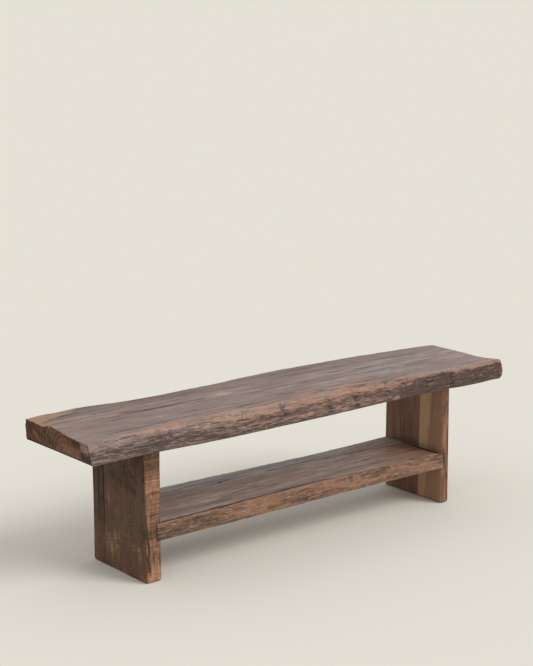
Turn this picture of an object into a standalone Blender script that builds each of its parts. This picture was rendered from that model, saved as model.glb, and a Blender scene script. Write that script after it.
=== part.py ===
"""Slab bench: a waney-edged seat slab on two glued-up plank legs, with a shelf housed between the legs.

Sizes are in metres. +X runs along the seat from left to right, -Y is the waney front and +Z is up.
Each piece of wood or metal is its own solid, and FIT keeps pieces that touch just clear of each other.
"""

import math

import bmesh
import bpy
import numpy as np

# Seat slab
SEAT_LENGTH = 1.602
SEAT_DEPTH = 0.340
SEAT_THICKNESS = 0.060
SEAT_HEIGHT = 0.450
SEAT_ARRIS = 0.003
LEFT_END_SKEW = -0.015
RIGHT_END_SKEW = 0.036

# Natural edges of the seat: each swell is its place along X, its spread and how far it moves the edge
REAR_SWELLS = ((-0.640, 0.140, 0.017), (0.230, 0.410, 0.023))
REAR_BELLY = 0.003
FRONT_SWELLS = ((0.420, 0.240, 0.013), (0.800, 0.120, 0.005), (-0.800, 0.110, -0.004))
WANE_WIDTH = 0.050
WANE_SWELLS = ((0.135, 0.100, 0.016), (-0.600, 0.090, -0.010), (-0.420, 0.070, -0.008))
WANE_END_SPREAD = 0.120
WANE_LEFT_LOSS = 0.024
WANE_RIGHT_LOSS = 0.037
WANE_BULGE = 0.008

# Drying check in the seat's left end
CHECK_PLACE = 0.046
CHECK_WIDTH = 0.007
CHECK_DEPTH = 0.009
CHECK_LENGTH = 0.150

# Legs
LEG_WIDTH = 0.268
LEG_TAPER = 0.007
LEFT_LEG_THICKNESS = 0.050
LEFT_OVERHANG = 0.197
LEFT_REAR_BOARD = 0.058
LEFT_EDGE_RADIUS = 0.003
RIGHT_LEG_THICKNESS = 0.033
RIGHT_OVERHANG = 0.205
RIGHT_REAR_BOARD = 0.161
RIGHT_EDGE_RADIUS = 0.006
FOOT_RADIUS = 0.009

# Shelf
SHELF_TOP = 0.169
SHELF_THICKNESS = 0.050
SHELF_WIDTH = 0.268
SHELF_REAR_SWELLS = ((0.250, 0.340, -0.009),)
SHELF_FRONT_SWELLS = ((0.150, 0.480, 0.008),)
SHELF_WANE = 0.014
SHELF_WANE_SPREAD = 0.380
SHELF_KNEE_SHARE = 0.4
SHELF_KNEE_HEIGHT = 0.0375
SHELF_ARRIS = 0.003
HOUSING_DEPTH = 0.015

# Dowels between the legs and the seat, and across the glued joint of each leg
SEAT_DOWEL_DIAMETER = 0.014
SEAT_DOWEL_RISE = 0.035
SEAT_DOWEL_DROP = 0.045
JOINT_DOWEL_DIAMETER = 0.010
JOINT_DOWEL_LENGTH = 0.060
DOWEL_CHAMFER = 0.001

# Screws through each leg into the shelf's end, under plugs: (Y, Z) from the middle of the leg and the shelf
SCREW_PLACES = ((0.039, 0.001), (0.010, -0.006), (-0.060, -0.012), (-0.095, 0.002))
SCREW_LENGTH = 0.056
SCREW_DIAMETER = 0.0045
SCREW_TIP = 0.008
SCREW_POINT_DIAMETER = 0.001125
HEAD_DIAMETER = 0.0076
HEAD_HEIGHT = 0.003
HEAD_SEAT = 0.006
PLUG_DIAMETER = 0.009

# Clearance between touching pieces
FIT = 0.0003

# Facets
SEAT_STATIONS = 48
WANE_STEPS = 13
SHELF_STATIONS = 24
ROUND_SIDES = 20
ARC_STEPS = 4
SHARP_CORNER = math.radians(30)

SEAT_UNDERSIDE = SEAT_HEIGHT - SEAT_THICKNESS
LEG_HEIGHT = SEAT_UNDERSIDE - FIT
SHELF_BOTTOM = SHELF_TOP - SHELF_THICKNESS
SHELF_MIDDLE = (SHELF_TOP + SHELF_BOTTOM) / 2

# Each leg: its outer and inner face in X, which way is inward, its glued joint in Y, and its worn corners
LEGS = {
    "left": {
        "outer": LEFT_OVERHANG - SEAT_LENGTH / 2,
        "inner": LEFT_OVERHANG - SEAT_LENGTH / 2 + LEFT_LEG_THICKNESS,
        "inward": 1,
        "joint": LEG_WIDTH / 2 - LEFT_REAR_BOARD,
        "radius": LEFT_EDGE_RADIUS,
        "colour": (0.075, 0.045, 0.031),
    },
    "right": {
        "outer": SEAT_LENGTH / 2 - RIGHT_OVERHANG,
        "inner": SEAT_LENGTH / 2 - RIGHT_OVERHANG - RIGHT_LEG_THICKNESS,
        "inward": -1,
        "joint": LEG_WIDTH / 2 - RIGHT_REAR_BOARD,
        "radius": RIGHT_EDGE_RADIUS,
        "colour": (0.120, 0.070, 0.042),
    },
}


def clear_scene():
    """Take away whatever the open file holds."""
    for old in list(bpy.data.objects):
        bpy.data.objects.remove(old, do_unlink=True)


def make_material(name, colour, roughness, metallic=0.0):
    """A plain surface of one colour."""
    material = bpy.data.materials.new(name)
    material.use_nodes = True
    surface = material.node_tree.nodes["Principled BSDF"]
    surface.inputs["Base Color"].default_value = (*colour, 1.0)
    surface.inputs["Roughness"].default_value = roughness
    surface.inputs["Metallic"].default_value = metallic
    return material


def add_object(name, shape, root):
    """An object under the bench's empty, from (points, faces), with its faces turned outwards."""
    points, faces = shape
    mesh = bpy.data.meshes.new(name)
    mesh.from_pydata([tuple(point) for point in points], [], faces)
    skin = bmesh.new()
    skin.from_mesh(mesh)
    bmesh.ops.recalc_face_normals(skin, faces=skin.faces)
    skin.to_mesh(mesh)
    skin.free()
    added = bpy.data.objects.new(name, mesh)
    bpy.context.scene.collection.objects.link(added)
    added.parent = root
    return added


def add_piece(name, shape, root, material):
    """A piece of the bench, smooth but for its sharp corners."""
    piece = add_object(name, shape, root)
    piece.data.materials.append(material)
    piece.data.shade_smooth()
    piece.data.set_sharp_from_angle(angle=SHARP_CORNER)
    return piece


def cut(piece, what, shapes, root):
    """Take shapes that lie clear of each other out of a piece, in one cut."""
    points = []
    faces = []
    for more_points, more_faces in shapes:
        faces += [[corner + len(points) for corner in face] for face in more_faces]
        points += list(more_points)
    cutter = add_object(f"{piece.name}_{what}", (points, faces), root)
    cutter.hide_render = True
    cutter.display_type = "WIRE"
    boolean = piece.modifiers.new(what, "BOOLEAN")
    boolean.operation = "DIFFERENCE"
    boolean.solver = "EXACT"
    boolean.object = cutter


def loft(rings):
    """A closed skin over a row of rings with as many points each, capped at both ends."""
    count, around = rings.shape[:2]
    index = np.arange(count * around).reshape(count, around)
    here, there = index[:-1], index[1:]
    sides = np.stack([here, np.roll(here, -1, 1), np.roll(there, -1, 1), there], axis=-1)
    faces = sides.reshape(-1, 4).tolist() + [index[0].tolist(), index[-1].tolist()]
    return rings.reshape(-1, 3), faces


def turned(start, axis, profile):
    """A turned shape: profile is (distance along the axis, radius) pairs from the start point."""
    along, radius = np.array(profile).T[:, :, None, None]
    angle = np.linspace(0, 2 * math.pi, ROUND_SIDES, endpoint=False)[None, :, None]
    way = np.array(axis, float)
    side = np.roll(way, 1)
    other = np.cross(way, side)
    spread = np.cos(angle) * side + np.sin(angle) * other
    return loft(np.array(start) + along * way + radius * spread)


def swell(x, swells):
    """The sum of smooth swells, each a bell of its own place, spread and amount."""
    return sum(amount * np.exp(-(((x - place) / spread) ** 2)) for place, spread, amount in swells)


def seat_shape():
    """The slab, lofted along X: up the rounded wane, over the flat top and down the rear edge."""
    half = SEAT_LENGTH / 2
    inner = half - SEAT_ARRIS
    x = np.concatenate([[-half], np.linspace(-inner, inner, SEAT_STATIONS), [half]])[:, None]
    front = -SEAT_DEPTH / 2 + swell(x, FRONT_SWELLS)
    rear = SEAT_DEPTH / 2 + swell(x, REAR_SWELLS)
    ends = ((-half, WANE_END_SPREAD, -WANE_LEFT_LOSS), (half, WANE_END_SPREAD, -WANE_RIGHT_LOSS))
    wane = WANE_WIDTH + swell(x, WANE_SWELLS + ends)

    share = np.linspace(0, 1, WANE_STEPS)[None, :]
    wane_y = front + wane * share
    wane_z = SEAT_UNDERSIDE + SEAT_THICKNESS * share + WANE_BULGE * np.sin(math.pi * share) + 0 * x
    rear_y = rear + np.array([-SEAT_ARRIS, 0, REAR_BELLY, 0, -SEAT_ARRIS])
    drop = np.array([0, SEAT_ARRIS, SEAT_THICKNESS / 2, SEAT_THICKNESS - SEAT_ARRIS, SEAT_THICKNESS])
    rear_z = SEAT_HEIGHT - drop + 0 * x
    y = np.concatenate([wane_y, rear_y], axis=1)
    z = np.concatenate([wane_z, rear_z], axis=1)

    # The first and last sections are drawn in, which rounds the arris of each end
    drawn_in = np.zeros_like(x)
    drawn_in[[0, -1]] = 2 * SEAT_ARRIS
    middle = SEAT_HEIGHT - SEAT_THICKNESS / 2
    y = y * (1 - drawn_in / SEAT_DEPTH)
    z = middle + (z - middle) * (1 - drawn_in / SEAT_THICKNESS)
    skew = LEFT_END_SKEW + (RIGHT_END_SKEW - LEFT_END_SKEW) * (x + half) / SEAT_LENGTH
    return loft(np.stack([x - skew * y, y, z], axis=-1))


def check_shape():
    """The wedge of a drying check: widest and deepest at the left end, running out in the top."""
    end = -SEAT_LENGTH / 2 - SEAT_ARRIS
    above = SEAT_HEIGHT + SEAT_ARRIS
    points = [
        (end, CHECK_PLACE - CHECK_WIDTH / 2, above),
        (end, CHECK_PLACE + CHECK_WIDTH / 2, above),
        (end, CHECK_PLACE, SEAT_HEIGHT - CHECK_DEPTH),
        (end + CHECK_LENGTH, CHECK_PLACE, above),
    ]
    return points, [[0, 1, 2], [0, 1, 3], [1, 2, 3], [2, 0, 3]]


def board_ring(leg, worn, joint, inset, z):
    """One level of a leg board: two rounded corners on its worn edge and two square ones at the joint."""
    inward = leg["inward"]
    towards = math.copysign(1, joint - worn)
    outer = leg["outer"] + inward * inset
    inner = leg["inner"] - inward * inset
    edge = worn + towards * inset
    turn = np.linspace(0, math.pi / 2, ARC_STEPS)
    reach = leg["radius"] * (1 - np.cos(turn))
    sink = leg["radius"] * (1 - np.sin(turn))
    x = np.concatenate([[outer], outer + inward * reach, inner - inward * reach[::-1], [inner]])
    y = np.concatenate([[joint], edge + towards * sink, edge + towards * sink[::-1], [joint]])
    return np.stack([x, y, np.full_like(x, z)], axis=-1)


def leg_board_shape(leg, end):
    """The front or rear board of a leg, from its worn foot up to the seat. The front edge leans back."""
    turn = np.linspace(0, math.pi / 2, ARC_STEPS)
    insets = [*FOOT_RADIUS * (1 - np.sin(turn)), 0]
    levels = [*FOOT_RADIUS * (1 - np.cos(turn)), LEG_HEIGHT]
    rings = []
    for inset, z in zip(insets, levels):
        if end == "front":
            worn = -LEG_WIDTH / 2 + LEG_TAPER * (z / LEG_HEIGHT - 0.5)
            rings.append(board_ring(leg, worn, leg["joint"] - FIT / 2, inset, z))
        else:
            rings.append(board_ring(leg, LEG_WIDTH / 2, leg["joint"] + FIT / 2, inset, z))
    return loft(np.array(rings))


def housing_shape(leg):
    """The housing across a leg's inner face that takes the shelf's end."""
    floor = leg["inner"] - leg["inward"] * (HOUSING_DEPTH + FIT)
    mouth = leg["inner"] + leg["inward"] * HOUSING_DEPTH
    low, high = SHELF_BOTTOM - FIT, SHELF_TOP + FIT
    outline = ((-LEG_WIDTH, low), (LEG_WIDTH, low), (LEG_WIDTH, high), (-LEG_WIDTH, high))
    return loft(np.array([[(x, y, z) for y, z in outline] for x in (floor, mouth)]))


def shelf_shape():
    """The shelf, lofted along X from the floor of the left housing to the floor of the right one."""
    start = LEGS["left"]["inner"] - HOUSING_DEPTH
    finish = LEGS["right"]["inner"] + HOUSING_DEPTH
    x = np.linspace(start, finish, SHELF_STATIONS)[:, None]
    front = -SHELF_WIDTH / 2 + swell(x, SHELF_FRONT_SWELLS)
    rear = SHELF_WIDTH / 2 + swell(x, SHELF_REAR_SWELLS)
    off_middle = (x - (start + finish) / 2) / SHELF_WANE_SPREAD
    wane = SHELF_WANE * np.exp(-(off_middle**4)) + SHELF_ARRIS
    y = np.concatenate([front + SHELF_ARRIS, front, front + wane * SHELF_KNEE_SHARE, front + wane,
                        rear - SHELF_ARRIS, rear, rear, rear - SHELF_ARRIS], axis=1)
    z = SHELF_BOTTOM + np.array([0, SHELF_ARRIS, SHELF_KNEE_HEIGHT, SHELF_THICKNESS,
                                 SHELF_THICKNESS, SHELF_THICKNESS - SHELF_ARRIS, SHELF_ARRIS, 0])
    return loft(np.stack(np.broadcast_arrays(x, y, z), axis=-1))


def dowel_shape(start, axis, length, diameter):
    """A dowel with chamfered ends."""
    radius = diameter / 2
    profile = [(0, radius - DOWEL_CHAMFER), (DOWEL_CHAMFER, radius),
               (length - DOWEL_CHAMFER, radius), (length, radius - DOWEL_CHAMFER)]
    return turned(start, axis, profile)


def hole_shape(start, axis, length, diameter):
    """The hole that a dowel drops into, clear of it all round."""
    radius = diameter / 2 + FIT
    return turned(start, axis, [(-FIT, radius), (length + FIT, radius)])


def seat_dowels(leg):
    """Starts of the dowels up into the seat, with the board each stands in: two in the wider board."""
    middle = (leg["outer"] + leg["inner"]) / 2
    found = []
    for end, low, high in (("front", -LEG_WIDTH / 2, leg["joint"]), ("rear", leg["joint"], LEG_WIDTH / 2)):
        count = 2 if high - low > LEG_WIDTH / 2 else 1
        for step in range(count):
            y = low + (high - low) * (step + 0.5) / count
            found.append((end, (middle, y, SEAT_UNDERSIDE - SEAT_DOWEL_DROP)))
    return found


def joint_dowels(leg):
    """Starts of the dowels across a leg's glued joint: one under the shelf and two over it."""
    middle = (leg["outer"] + leg["inner"]) / 2
    clear = LEG_HEIGHT - SEAT_DOWEL_DROP - SHELF_TOP
    heights = (SHELF_BOTTOM / 2, SHELF_TOP + clear / 3, SHELF_TOP + clear * 2 / 3)
    return [(middle, leg["joint"] - JOINT_DOWEL_LENGTH / 2, z) for z in heights]


def make_leg(side, holes, root, dowel_wood):
    """Both boards of a leg with their dowels. Each hole is noted against the piece that it is bored in."""
    leg = LEGS[side]
    wood = make_material(f"{side}_leg_wood", leg["colour"], 0.6)
    for end in ("front", "rear"):
        board = add_piece(f"{side}_leg_{end}_board", leg_board_shape(leg, end), root, wood)
        cut(board, "housing", [housing_shape(leg)], root)
        holes[board.name] = []

    up = (0, 0, 1)
    length = SEAT_DOWEL_RISE + SEAT_DOWEL_DROP
    for number, (end, start) in enumerate(seat_dowels(leg), 1):
        dowel = dowel_shape(start, up, length, SEAT_DOWEL_DIAMETER)
        add_piece(f"{side}_seat_dowel_{number}", dowel, root, dowel_wood)
        hole = hole_shape(start, up, length, SEAT_DOWEL_DIAMETER)
        holes[f"{side}_leg_{end}_board"].append(hole)
        holes["seat_slab"].append(hole)

    across = (0, 1, 0)
    for number, start in enumerate(joint_dowels(leg), 1):
        dowel = dowel_shape(start, across, JOINT_DOWEL_LENGTH, JOINT_DOWEL_DIAMETER)
        add_piece(f"{side}_joint_dowel_{number}", dowel, root, dowel_wood)
        hole = hole_shape(start, across, JOINT_DOWEL_LENGTH, JOINT_DOWEL_DIAMETER)
        holes[f"{side}_leg_front_board"].append(hole)
        holes[f"{side}_leg_rear_board"].append(hole)


def screw_shelf(side, holes, root, plug_wood, steel):
    """Screws from a leg's outer face into the shelf's end, each sunk under a plug that ends flush."""
    leg = LEGS[side]
    axis = (leg["inward"], 0, 0)
    plug_length = abs(leg["inner"] - leg["outer"]) - HOUSING_DEPTH - HEAD_SEAT - HEAD_HEIGHT - FIT
    top = plug_length + FIT
    shoulder = top + HEAD_HEIGHT
    point = top + SCREW_LENGTH
    head, shank, plug = HEAD_DIAMETER / 2, SCREW_DIAMETER / 2, PLUG_DIAMETER / 2
    plug_profile = [(0, plug), (plug_length, plug)]
    screw_profile = [(top, head), (shoulder, head), (shoulder, shank),
                     (point - SCREW_TIP, shank), (point, SCREW_POINT_DIAMETER / 2)]
    bore_profile = [(-FIT, plug + FIT), (shoulder + FIT, plug + FIT),
                    (shoulder + FIT, shank + FIT), (point + FIT, shank + FIT)]
    for number, (y, rise) in enumerate(SCREW_PLACES, 1):
        start = (leg["outer"], y, SHELF_MIDDLE + rise)
        add_piece(f"{side}_shelf_plug_{number}", turned(start, axis, plug_profile), root, plug_wood)
        add_piece(f"{side}_shelf_screw_{number}", turned(start, axis, screw_profile), root, steel)
        bore = turned(start, axis, bore_profile)
        end = "front" if y < leg["joint"] else "rear"
        holes[f"{side}_leg_{end}_board"].append(bore)
        holes["shelf_board"].append(bore)


def stand_on_origin(root, seat):
    """Move the whole bench so that the middle of its footprint lies on the origin."""
    points = np.array([vertex.co for vertex in seat.data.vertices])
    middle = (points.min(axis=0) + points.max(axis=0)) / 2
    root.location = (-middle[0], -middle[1], 0)


def make_bench():
    """Put the bench together: seat, shelf and legs, then what holds them, then the holes for it."""
    clear_scene()
    root = bpy.data.objects.new("slab_bench", None)
    bpy.context.scene.collection.objects.link(root)
    seat_wood = make_material("seat_wood", (0.25, 0.185, 0.165), 0.55)
    shelf_wood = make_material("shelf_wood", (0.18, 0.133, 0.112), 0.6)
    dowel_wood = make_material("dowel_wood", (0.38, 0.24, 0.13), 0.6)
    plug_wood = make_material("plug_wood", (0.022, 0.015, 0.012), 0.6)
    steel = make_material("screw_steel", (0.32, 0.31, 0.30), 0.35, 1.0)

    seat = add_piece("seat_slab", seat_shape(), root, seat_wood)
    add_piece("shelf_board", shelf_shape(), root, shelf_wood)
    holes = {"seat_slab": [check_shape()], "shelf_board": []}
    for side in LEGS:
        make_leg(side, holes, root, dowel_wood)
        screw_shelf(side, holes, root, plug_wood, steel)
    for name, shapes in holes.items():
        cut(bpy.data.objects[name], "holes", shapes, root)
    stand_on_origin(root, seat)


make_bench()
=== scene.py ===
"""Looks of the slab bench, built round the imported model.

The boards are skins worked out with numpy: each is a section carried along its grain, then weathered.
Lengths are in metres. +X runs along the seat from left to right, -Y is the waney front and +Z is up.
"""

import itertools
import math

import bpy
import numpy as np
from mathutils import Matrix, Vector


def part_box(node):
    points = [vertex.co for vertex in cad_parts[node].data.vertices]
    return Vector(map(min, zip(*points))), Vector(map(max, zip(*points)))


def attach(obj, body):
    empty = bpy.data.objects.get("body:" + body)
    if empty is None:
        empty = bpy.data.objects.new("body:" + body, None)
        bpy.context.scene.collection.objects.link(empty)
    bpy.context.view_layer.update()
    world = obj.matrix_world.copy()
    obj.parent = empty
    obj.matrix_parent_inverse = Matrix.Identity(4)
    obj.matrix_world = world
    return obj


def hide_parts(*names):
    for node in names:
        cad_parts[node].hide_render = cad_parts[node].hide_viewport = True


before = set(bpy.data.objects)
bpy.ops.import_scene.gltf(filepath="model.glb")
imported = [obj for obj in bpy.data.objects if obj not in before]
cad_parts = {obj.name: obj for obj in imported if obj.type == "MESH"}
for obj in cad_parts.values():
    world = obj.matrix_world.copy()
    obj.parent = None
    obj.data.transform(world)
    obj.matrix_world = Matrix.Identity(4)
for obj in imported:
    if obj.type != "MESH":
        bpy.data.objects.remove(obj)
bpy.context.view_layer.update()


# Left leg: two boards of reclaimed hardwood, glued edge to edge and dowelled up into the seat. The faces are
# sawn and waxed dark, the front edge is saw-cut orange wood with a torn splinter, and a housing takes the
# shelf's end.
LEG_FOOT = 0.009
LEG_LEAN = 0.007
GLUE_LINE = 0.0009
SHELF_FIT = 0.0003
FACE_STEP = 0.004
EDGE_STEP = 0.0016
SHARP_CORNER = math.radians(50)
LEFT_LEG_CORNER = 0.0025
LEFT_LEG_FLARE = 0.0035
SAW_PITCH = 0.0055
CROSS_PITCH = 0.0085
SPLINTER = ((0.030, -0.5990), (0.060, -0.5975), (0.090, -0.5965), (0.121, -0.5970), (0.165, -0.6020),
            (0.215, -0.6065))
BLEACHED_LEVEL = 0.264
BLEACHED_REACH = 0.022
FOOT_SMUDGE = (-0.591, 0.040, 0.009, 0.015)
JOINT = 0.065
REAR_STRIP = 0.092
PALE_STRIP = 0.105
LINE_WIDTH = 0.0034


def smooth_noise(place, seed):
    """Noise from -1 to 1: every whole-numbered corner of space has a hashed value, and a point takes the
    smooth blend of the eight corners round it."""
    cell = np.floor(place).astype(np.int64)
    part = place - cell
    part = part * part * (3 - 2 * part)
    total = np.zeros(part.shape[:-1])
    for corner in itertools.product((0, 1), repeat=3):
        key = (cell + corner) @ np.array([73856093, 19349663, 83492791]) + seed * 2654435761
        key = ((key ^ (key >> 15)) * 2246822519) & 0xFFFFFFFF
        key = ((key ^ (key >> 13)) * 3266489917) & 0xFFFFFFFF
        value = (key ^ (key >> 16)) / 0x7FFFFFFF - 1
        total += value * np.where(corner, part, 1 - part).prod(axis=-1)
    return total


def rough(place, size, seed, layers=3):
    """Layers of noise, each with half the size and half the height of the one before. Size is per axis."""
    return sum(smooth_noise(place / np.array(size) * 2**n, seed + n) / 2**n for n in range(layers))


def ease(value, start, end):
    """0 up to the start, 1 from the end, and a smooth step between them."""
    share = np.clip((value - start) / (end - start), 0, 1)
    return share * share * (3 - 2 * share)


def bell(value, middle, width):
    """1 at the middle and near 0 two widths away: e to minus the square of the distance in widths."""
    return np.exp(-(((value - middle) / width) ** 2))


def blot(u, v, middle_u, middle_v, size_u, size_v):
    """A soft oval spot on a face: one bell times another across it."""
    return np.exp(-(((u - middle_u) / size_u) ** 2) - ((v - middle_v) / size_v) ** 2)


def through(x, spots):
    """A smooth line through a few spots: cubic pieces, each slope taken from the spots on both sides."""
    at, height = np.array(spots).T
    slope = np.gradient(height, at)
    piece = np.clip(np.searchsorted(at, x) - 1, 0, len(at) - 2)
    step = at[piece + 1] - at[piece]
    t = np.clip((x - at[piece]) / step, 0, 1)
    start = (1 + 2 * t) * (1 - t) ** 2 * height[piece] + t * (1 - t) ** 2 * step * slope[piece]
    end = t**2 * (3 - 2 * t) * height[piece + 1] - t**2 * (1 - t) * step * slope[piece + 1]
    return start + end


def closed_loft(upper, lower, cap_rows):
    """A closed skin of triangles. Each station has an upper path and a lower path that leads back to its
    start. Quads join the stations, and each end is ruled in rows from its upper path down to its lower path.
    Columns after x, y and z are carried along."""
    across, columns = upper.shape[1:]
    ring = np.concatenate([upper, lower], axis=1)
    index = np.arange(ring.shape[0] * ring.shape[1]).reshape(ring.shape[:2])
    here, there = index[:-1], index[1:]
    quads = [np.stack([here, np.roll(here, -1, 1), np.roll(there, -1, 1), there], axis=-1).reshape(-1, 4)]
    triangles = []
    points = [ring.reshape(-1, columns)]
    count = index.size
    for end, turn in ((0, slice(None)), (-1, slice(None, None, -1))):
        base = np.concatenate([index[end, across - 1:], index[end, :1]])[::-1]
        base_points = np.concatenate([ring[end, across - 1:], ring[end, :1]])[::-1]
        share = np.linspace(0, 1, across)
        base_share = np.linspace(0, 1, len(base))
        foot = np.stack([np.interp(share, base_share, column) for column in base_points.T], axis=-1)
        row = index[end, :across]
        for step in range(1, cap_rows):
            points.append((upper[end] + (foot - upper[end]) * step / cap_rows)[1:-1])
            inner = np.concatenate([row[:1], count + np.arange(across - 2), row[-1:]])
            count += across - 2
            quads.append(np.stack([row[1:], row[:-1], inner[:-1], inner[1:]], axis=-1)[:, turn])
            row = inner
        row_middle = (share[1:] + share[:-1]) / 2
        base_middle = (base_share[1:] + base_share[:-1]) / 2
        nearest_base = base[np.searchsorted(base_middle, row_middle)]
        nearest_row = row[np.searchsorted(row_middle, base_middle, side="right")]
        down = np.stack([row[1:], row[:-1], nearest_base], axis=-1)
        up = np.stack([base[:-1], base[1:], nearest_row], axis=-1)
        triangles += [down[:, turn], up[:, turn]]
    quads = np.concatenate(quads)
    triangles = np.concatenate([quads[:, [0, 1, 2]], quads[:, [0, 2, 3]], *triangles])
    points, same = np.unique(np.round(np.concatenate(points), 7), axis=0, return_inverse=True)
    triangles = same.reshape(-1)[triangles]
    a, b, c = triangles.T
    triangles = triangles[(a != b) & (b != c) & (c != a)]
    a, b, c = points[triangles, :3].transpose(1, 0, 2)
    if np.einsum("ij,ij->", a, np.cross(b, c)) < 0:
        triangles = triangles[:, ::-1]
    return points, triangles


def outward(points, triangles):
    """The way each point faces: the sum of the areas of the triangles round it."""
    a, b, c = points[triangles].transpose(1, 0, 2)
    area = np.cross(b - a, c - a)
    total = np.stack([
        sum(np.bincount(triangles[:, corner], area[:, axis], len(points)) for corner in range(3))
        for axis in range(3)
    ], axis=-1)
    return total / np.linalg.norm(total, axis=1, keepdims=True)


def board(node, points, triangles, marks, material):
    """A board that stands for its CAD node. Marks are values at each point that its material reads."""
    mesh = bpy.data.meshes.new(node)
    mesh.from_pydata(points.tolist(), [], triangles.tolist())
    mesh.shade_smooth()
    mesh.set_sharp_from_angle(angle=SHARP_CORNER)
    for name, values in marks.items():
        mesh.attributes.new(name, "FLOAT", "POINT").data.foreach_set("value", values.astype(np.float32))
    mesh.materials.append(material)
    piece = bpy.data.objects.new(node + "_wood", mesh)
    bpy.context.scene.collection.objects.link(piece)
    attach(piece, "root")
    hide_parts(node)


def feed(tree, node, sockets):
    """Sets a shader node's sockets to values, or feeds them from other nodes' outputs."""
    for name, value in sockets.items():
        if isinstance(value, bpy.types.NodeSocket):
            tree.links.new(value, node.inputs[name])
        else:
            node.inputs[name].default_value = value


def put(tree, kind, sockets, **settings):
    """A new shader node with its settings, and its sockets fed."""
    made = tree.nodes.new(kind)
    for name, value in settings.items():
        setattr(made, name, value)
    feed(tree, made, sockets)
    return made


def sums(tree, operation, *values):
    """One sum on values."""
    return put(tree, "ShaderNodeMath", dict(enumerate(values)), operation=operation).outputs[0]


def vectors(tree, operation, *values):
    """One sum on vectors, which gives a vector, or a value for a length."""
    made = put(tree, "ShaderNodeVectorMath", dict(enumerate(values)), operation=operation)
    return made.outputs["Value" if operation == "LENGTH" else "Vector"]


def weighed(tree, *parts):
    """The total of values, each times its weight."""
    total = 0.0
    for value, weight in parts:
        total = sums(tree, "MULTIPLY_ADD", value, weight, total)
    return total


def blended(tree, share, first, second):
    """A colour between two others."""
    made = put(tree, "ShaderNodeMix", {0: share, 6: first, 7: second}, data_type="RGBA")
    return made.outputs[2]


def between(tree, value, low, high):
    """A value spread out so that low becomes 0 and high becomes 1, with soft ends."""
    return put(tree, "ShaderNodeMapRange", {"Value": value, "From Min": low, "From Max": high},
               interpolation_type="SMOOTHSTEP").outputs["Result"]


def noise(tree, place, scale, detail, roughness=0.6, output=0):
    """Even cloudy noise from 0 to 1."""
    sockets = {"Vector": place, "Scale": scale, "Detail": detail, "Roughness": roughness}
    return put(tree, "ShaderNodeTexNoise", sockets).outputs[output]


def own_place(tree):
    """A point's place in its piece's own frame."""
    return put(tree, "ShaderNodeTexCoord", {}).outputs["Object"]


def marked(tree, name):
    """What a mesh is marked with under a name."""
    return put(tree, "ShaderNodeAttribute", {}, attribute_name=name.lower()).outputs["Fac"]


def blank_material(name):
    """A new material, its shader tree and its surface node."""
    material = bpy.data.materials.new(name)
    material.use_nodes = True
    return material, material.node_tree, material.node_tree.nodes["Principled BSDF"]


def new_group(name, inputs, outputs):
    """An empty shader group with named sockets, what it is given, and the node that takes its results."""
    group = bpy.data.node_groups.new(name, "ShaderNodeTree")
    for way, sockets in (("INPUT", inputs), ("OUTPUT", outputs)):
        for socket, kind in sockets.items():
            group.interface.new_socket(socket, in_out=way, socket_type="NodeSocket" + kind)
    return group, group.nodes.new("NodeGroupInput").outputs, group.nodes.new("NodeGroupOutput")


# Grain of any board: long streaks, fine fibres, thin drying cracks and short pores, drawn out along the
# grain by Stretch, and patches of wear and short strands drawn out by Patch
GRAIN = ("Streak", "Fibre", "Cracks", "Pores", "Cloud", "Strand")
wood_grain, given, result = new_group("wood_grain", dict.fromkeys(("Place", "Stretch", "Patch"), "Vector"),
                                      dict.fromkeys(GRAIN, "Float"))
tree = wood_grain
drawn = vectors(tree, "MULTIPLY", given["Place"], given["Stretch"])
sway = noise(tree, drawn, 1.2, 2.0, output="Color")
swayed = vectors(tree, "MULTIPLY_ADD", sway, (0.4, 0.4, 0.4), drawn)
spread = vectors(tree, "MULTIPLY", given["Place"], given["Patch"])
cloud = noise(tree, spread, 16.0, 5.0)
ridge = sums(tree, "ABSOLUTE", sums(tree, "SUBTRACT", noise(tree, swayed, 7.5, 3.0), 0.5))
cracks = sums(tree, "MULTIPLY", between(tree, ridge, 0.030, 0.008), between(tree, cloud, 0.46, 0.60))
feed(tree, result, {
    "Streak": between(tree, noise(tree, swayed, 4.2, 4.0), 0.32, 0.68),
    "Fibre": between(tree, noise(tree, swayed, 14.0, 5.0, 0.7), 0.30, 0.70),
    "Cracks": between(tree, cracks, 0.0, 1.0),
    "Pores": between(tree, noise(tree, swayed, 62.0, 2.0), 0.58, 0.70),
    "Cloud": between(tree, cloud, 0.30, 0.70),
    "Strand": between(tree, noise(tree, spread, 36.0, 3.0), 0.28, 0.72)})

# Finish of any board: three tones laid over the grain, then wood worn through to a warm colour, then dirt
# and painted shade, and silvering where Warm is below 0. The marks shift the tone and say where wear,
# dirt, painted shade and highlights, and roughness lie, and the grain breaks up their edges
MARKS = ("Tone", "Warm", "Dirt", "Rough")
WOODS = ("Dark", "Middle", "Light", "Warm Wood", "Dirt Colour")
board_finish, given, result = new_group(
    "board_finish", dict.fromkeys(GRAIN + MARKS + ("Contrast",), "Float") | dict.fromkeys(WOODS, "Color"),
    {"Colour": "Color", "Roughness": "Float", "Height": "Float"})
tree = board_finish
streak, fibre, cracks, pores, cloud, strand = (given[name] for name in GRAIN)
tone, warm, dirt, rugged = (given[name] for name in MARKS)
dark, middle, light, warm_wood, dirt_colour = (given[name] for name in WOODS)
grain = sums(tree, "SUBTRACT", weighed(tree, (streak, 0.5), (fibre, 0.5)), 0.5)
pitted = sums(tree, "MULTIPLY", sums(tree, "SUBTRACT", strand, 0.5), rugged)
level = sums(tree, "MULTIPLY_ADD", grain, given["Contrast"], sums(tree, "ADD", tone, 0.5))
level = sums(tree, "MULTIPLY_ADD", pitted, 0.6, level)
wood = blended(tree, between(tree, level, 0.02, 0.50), dark, middle)
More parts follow.
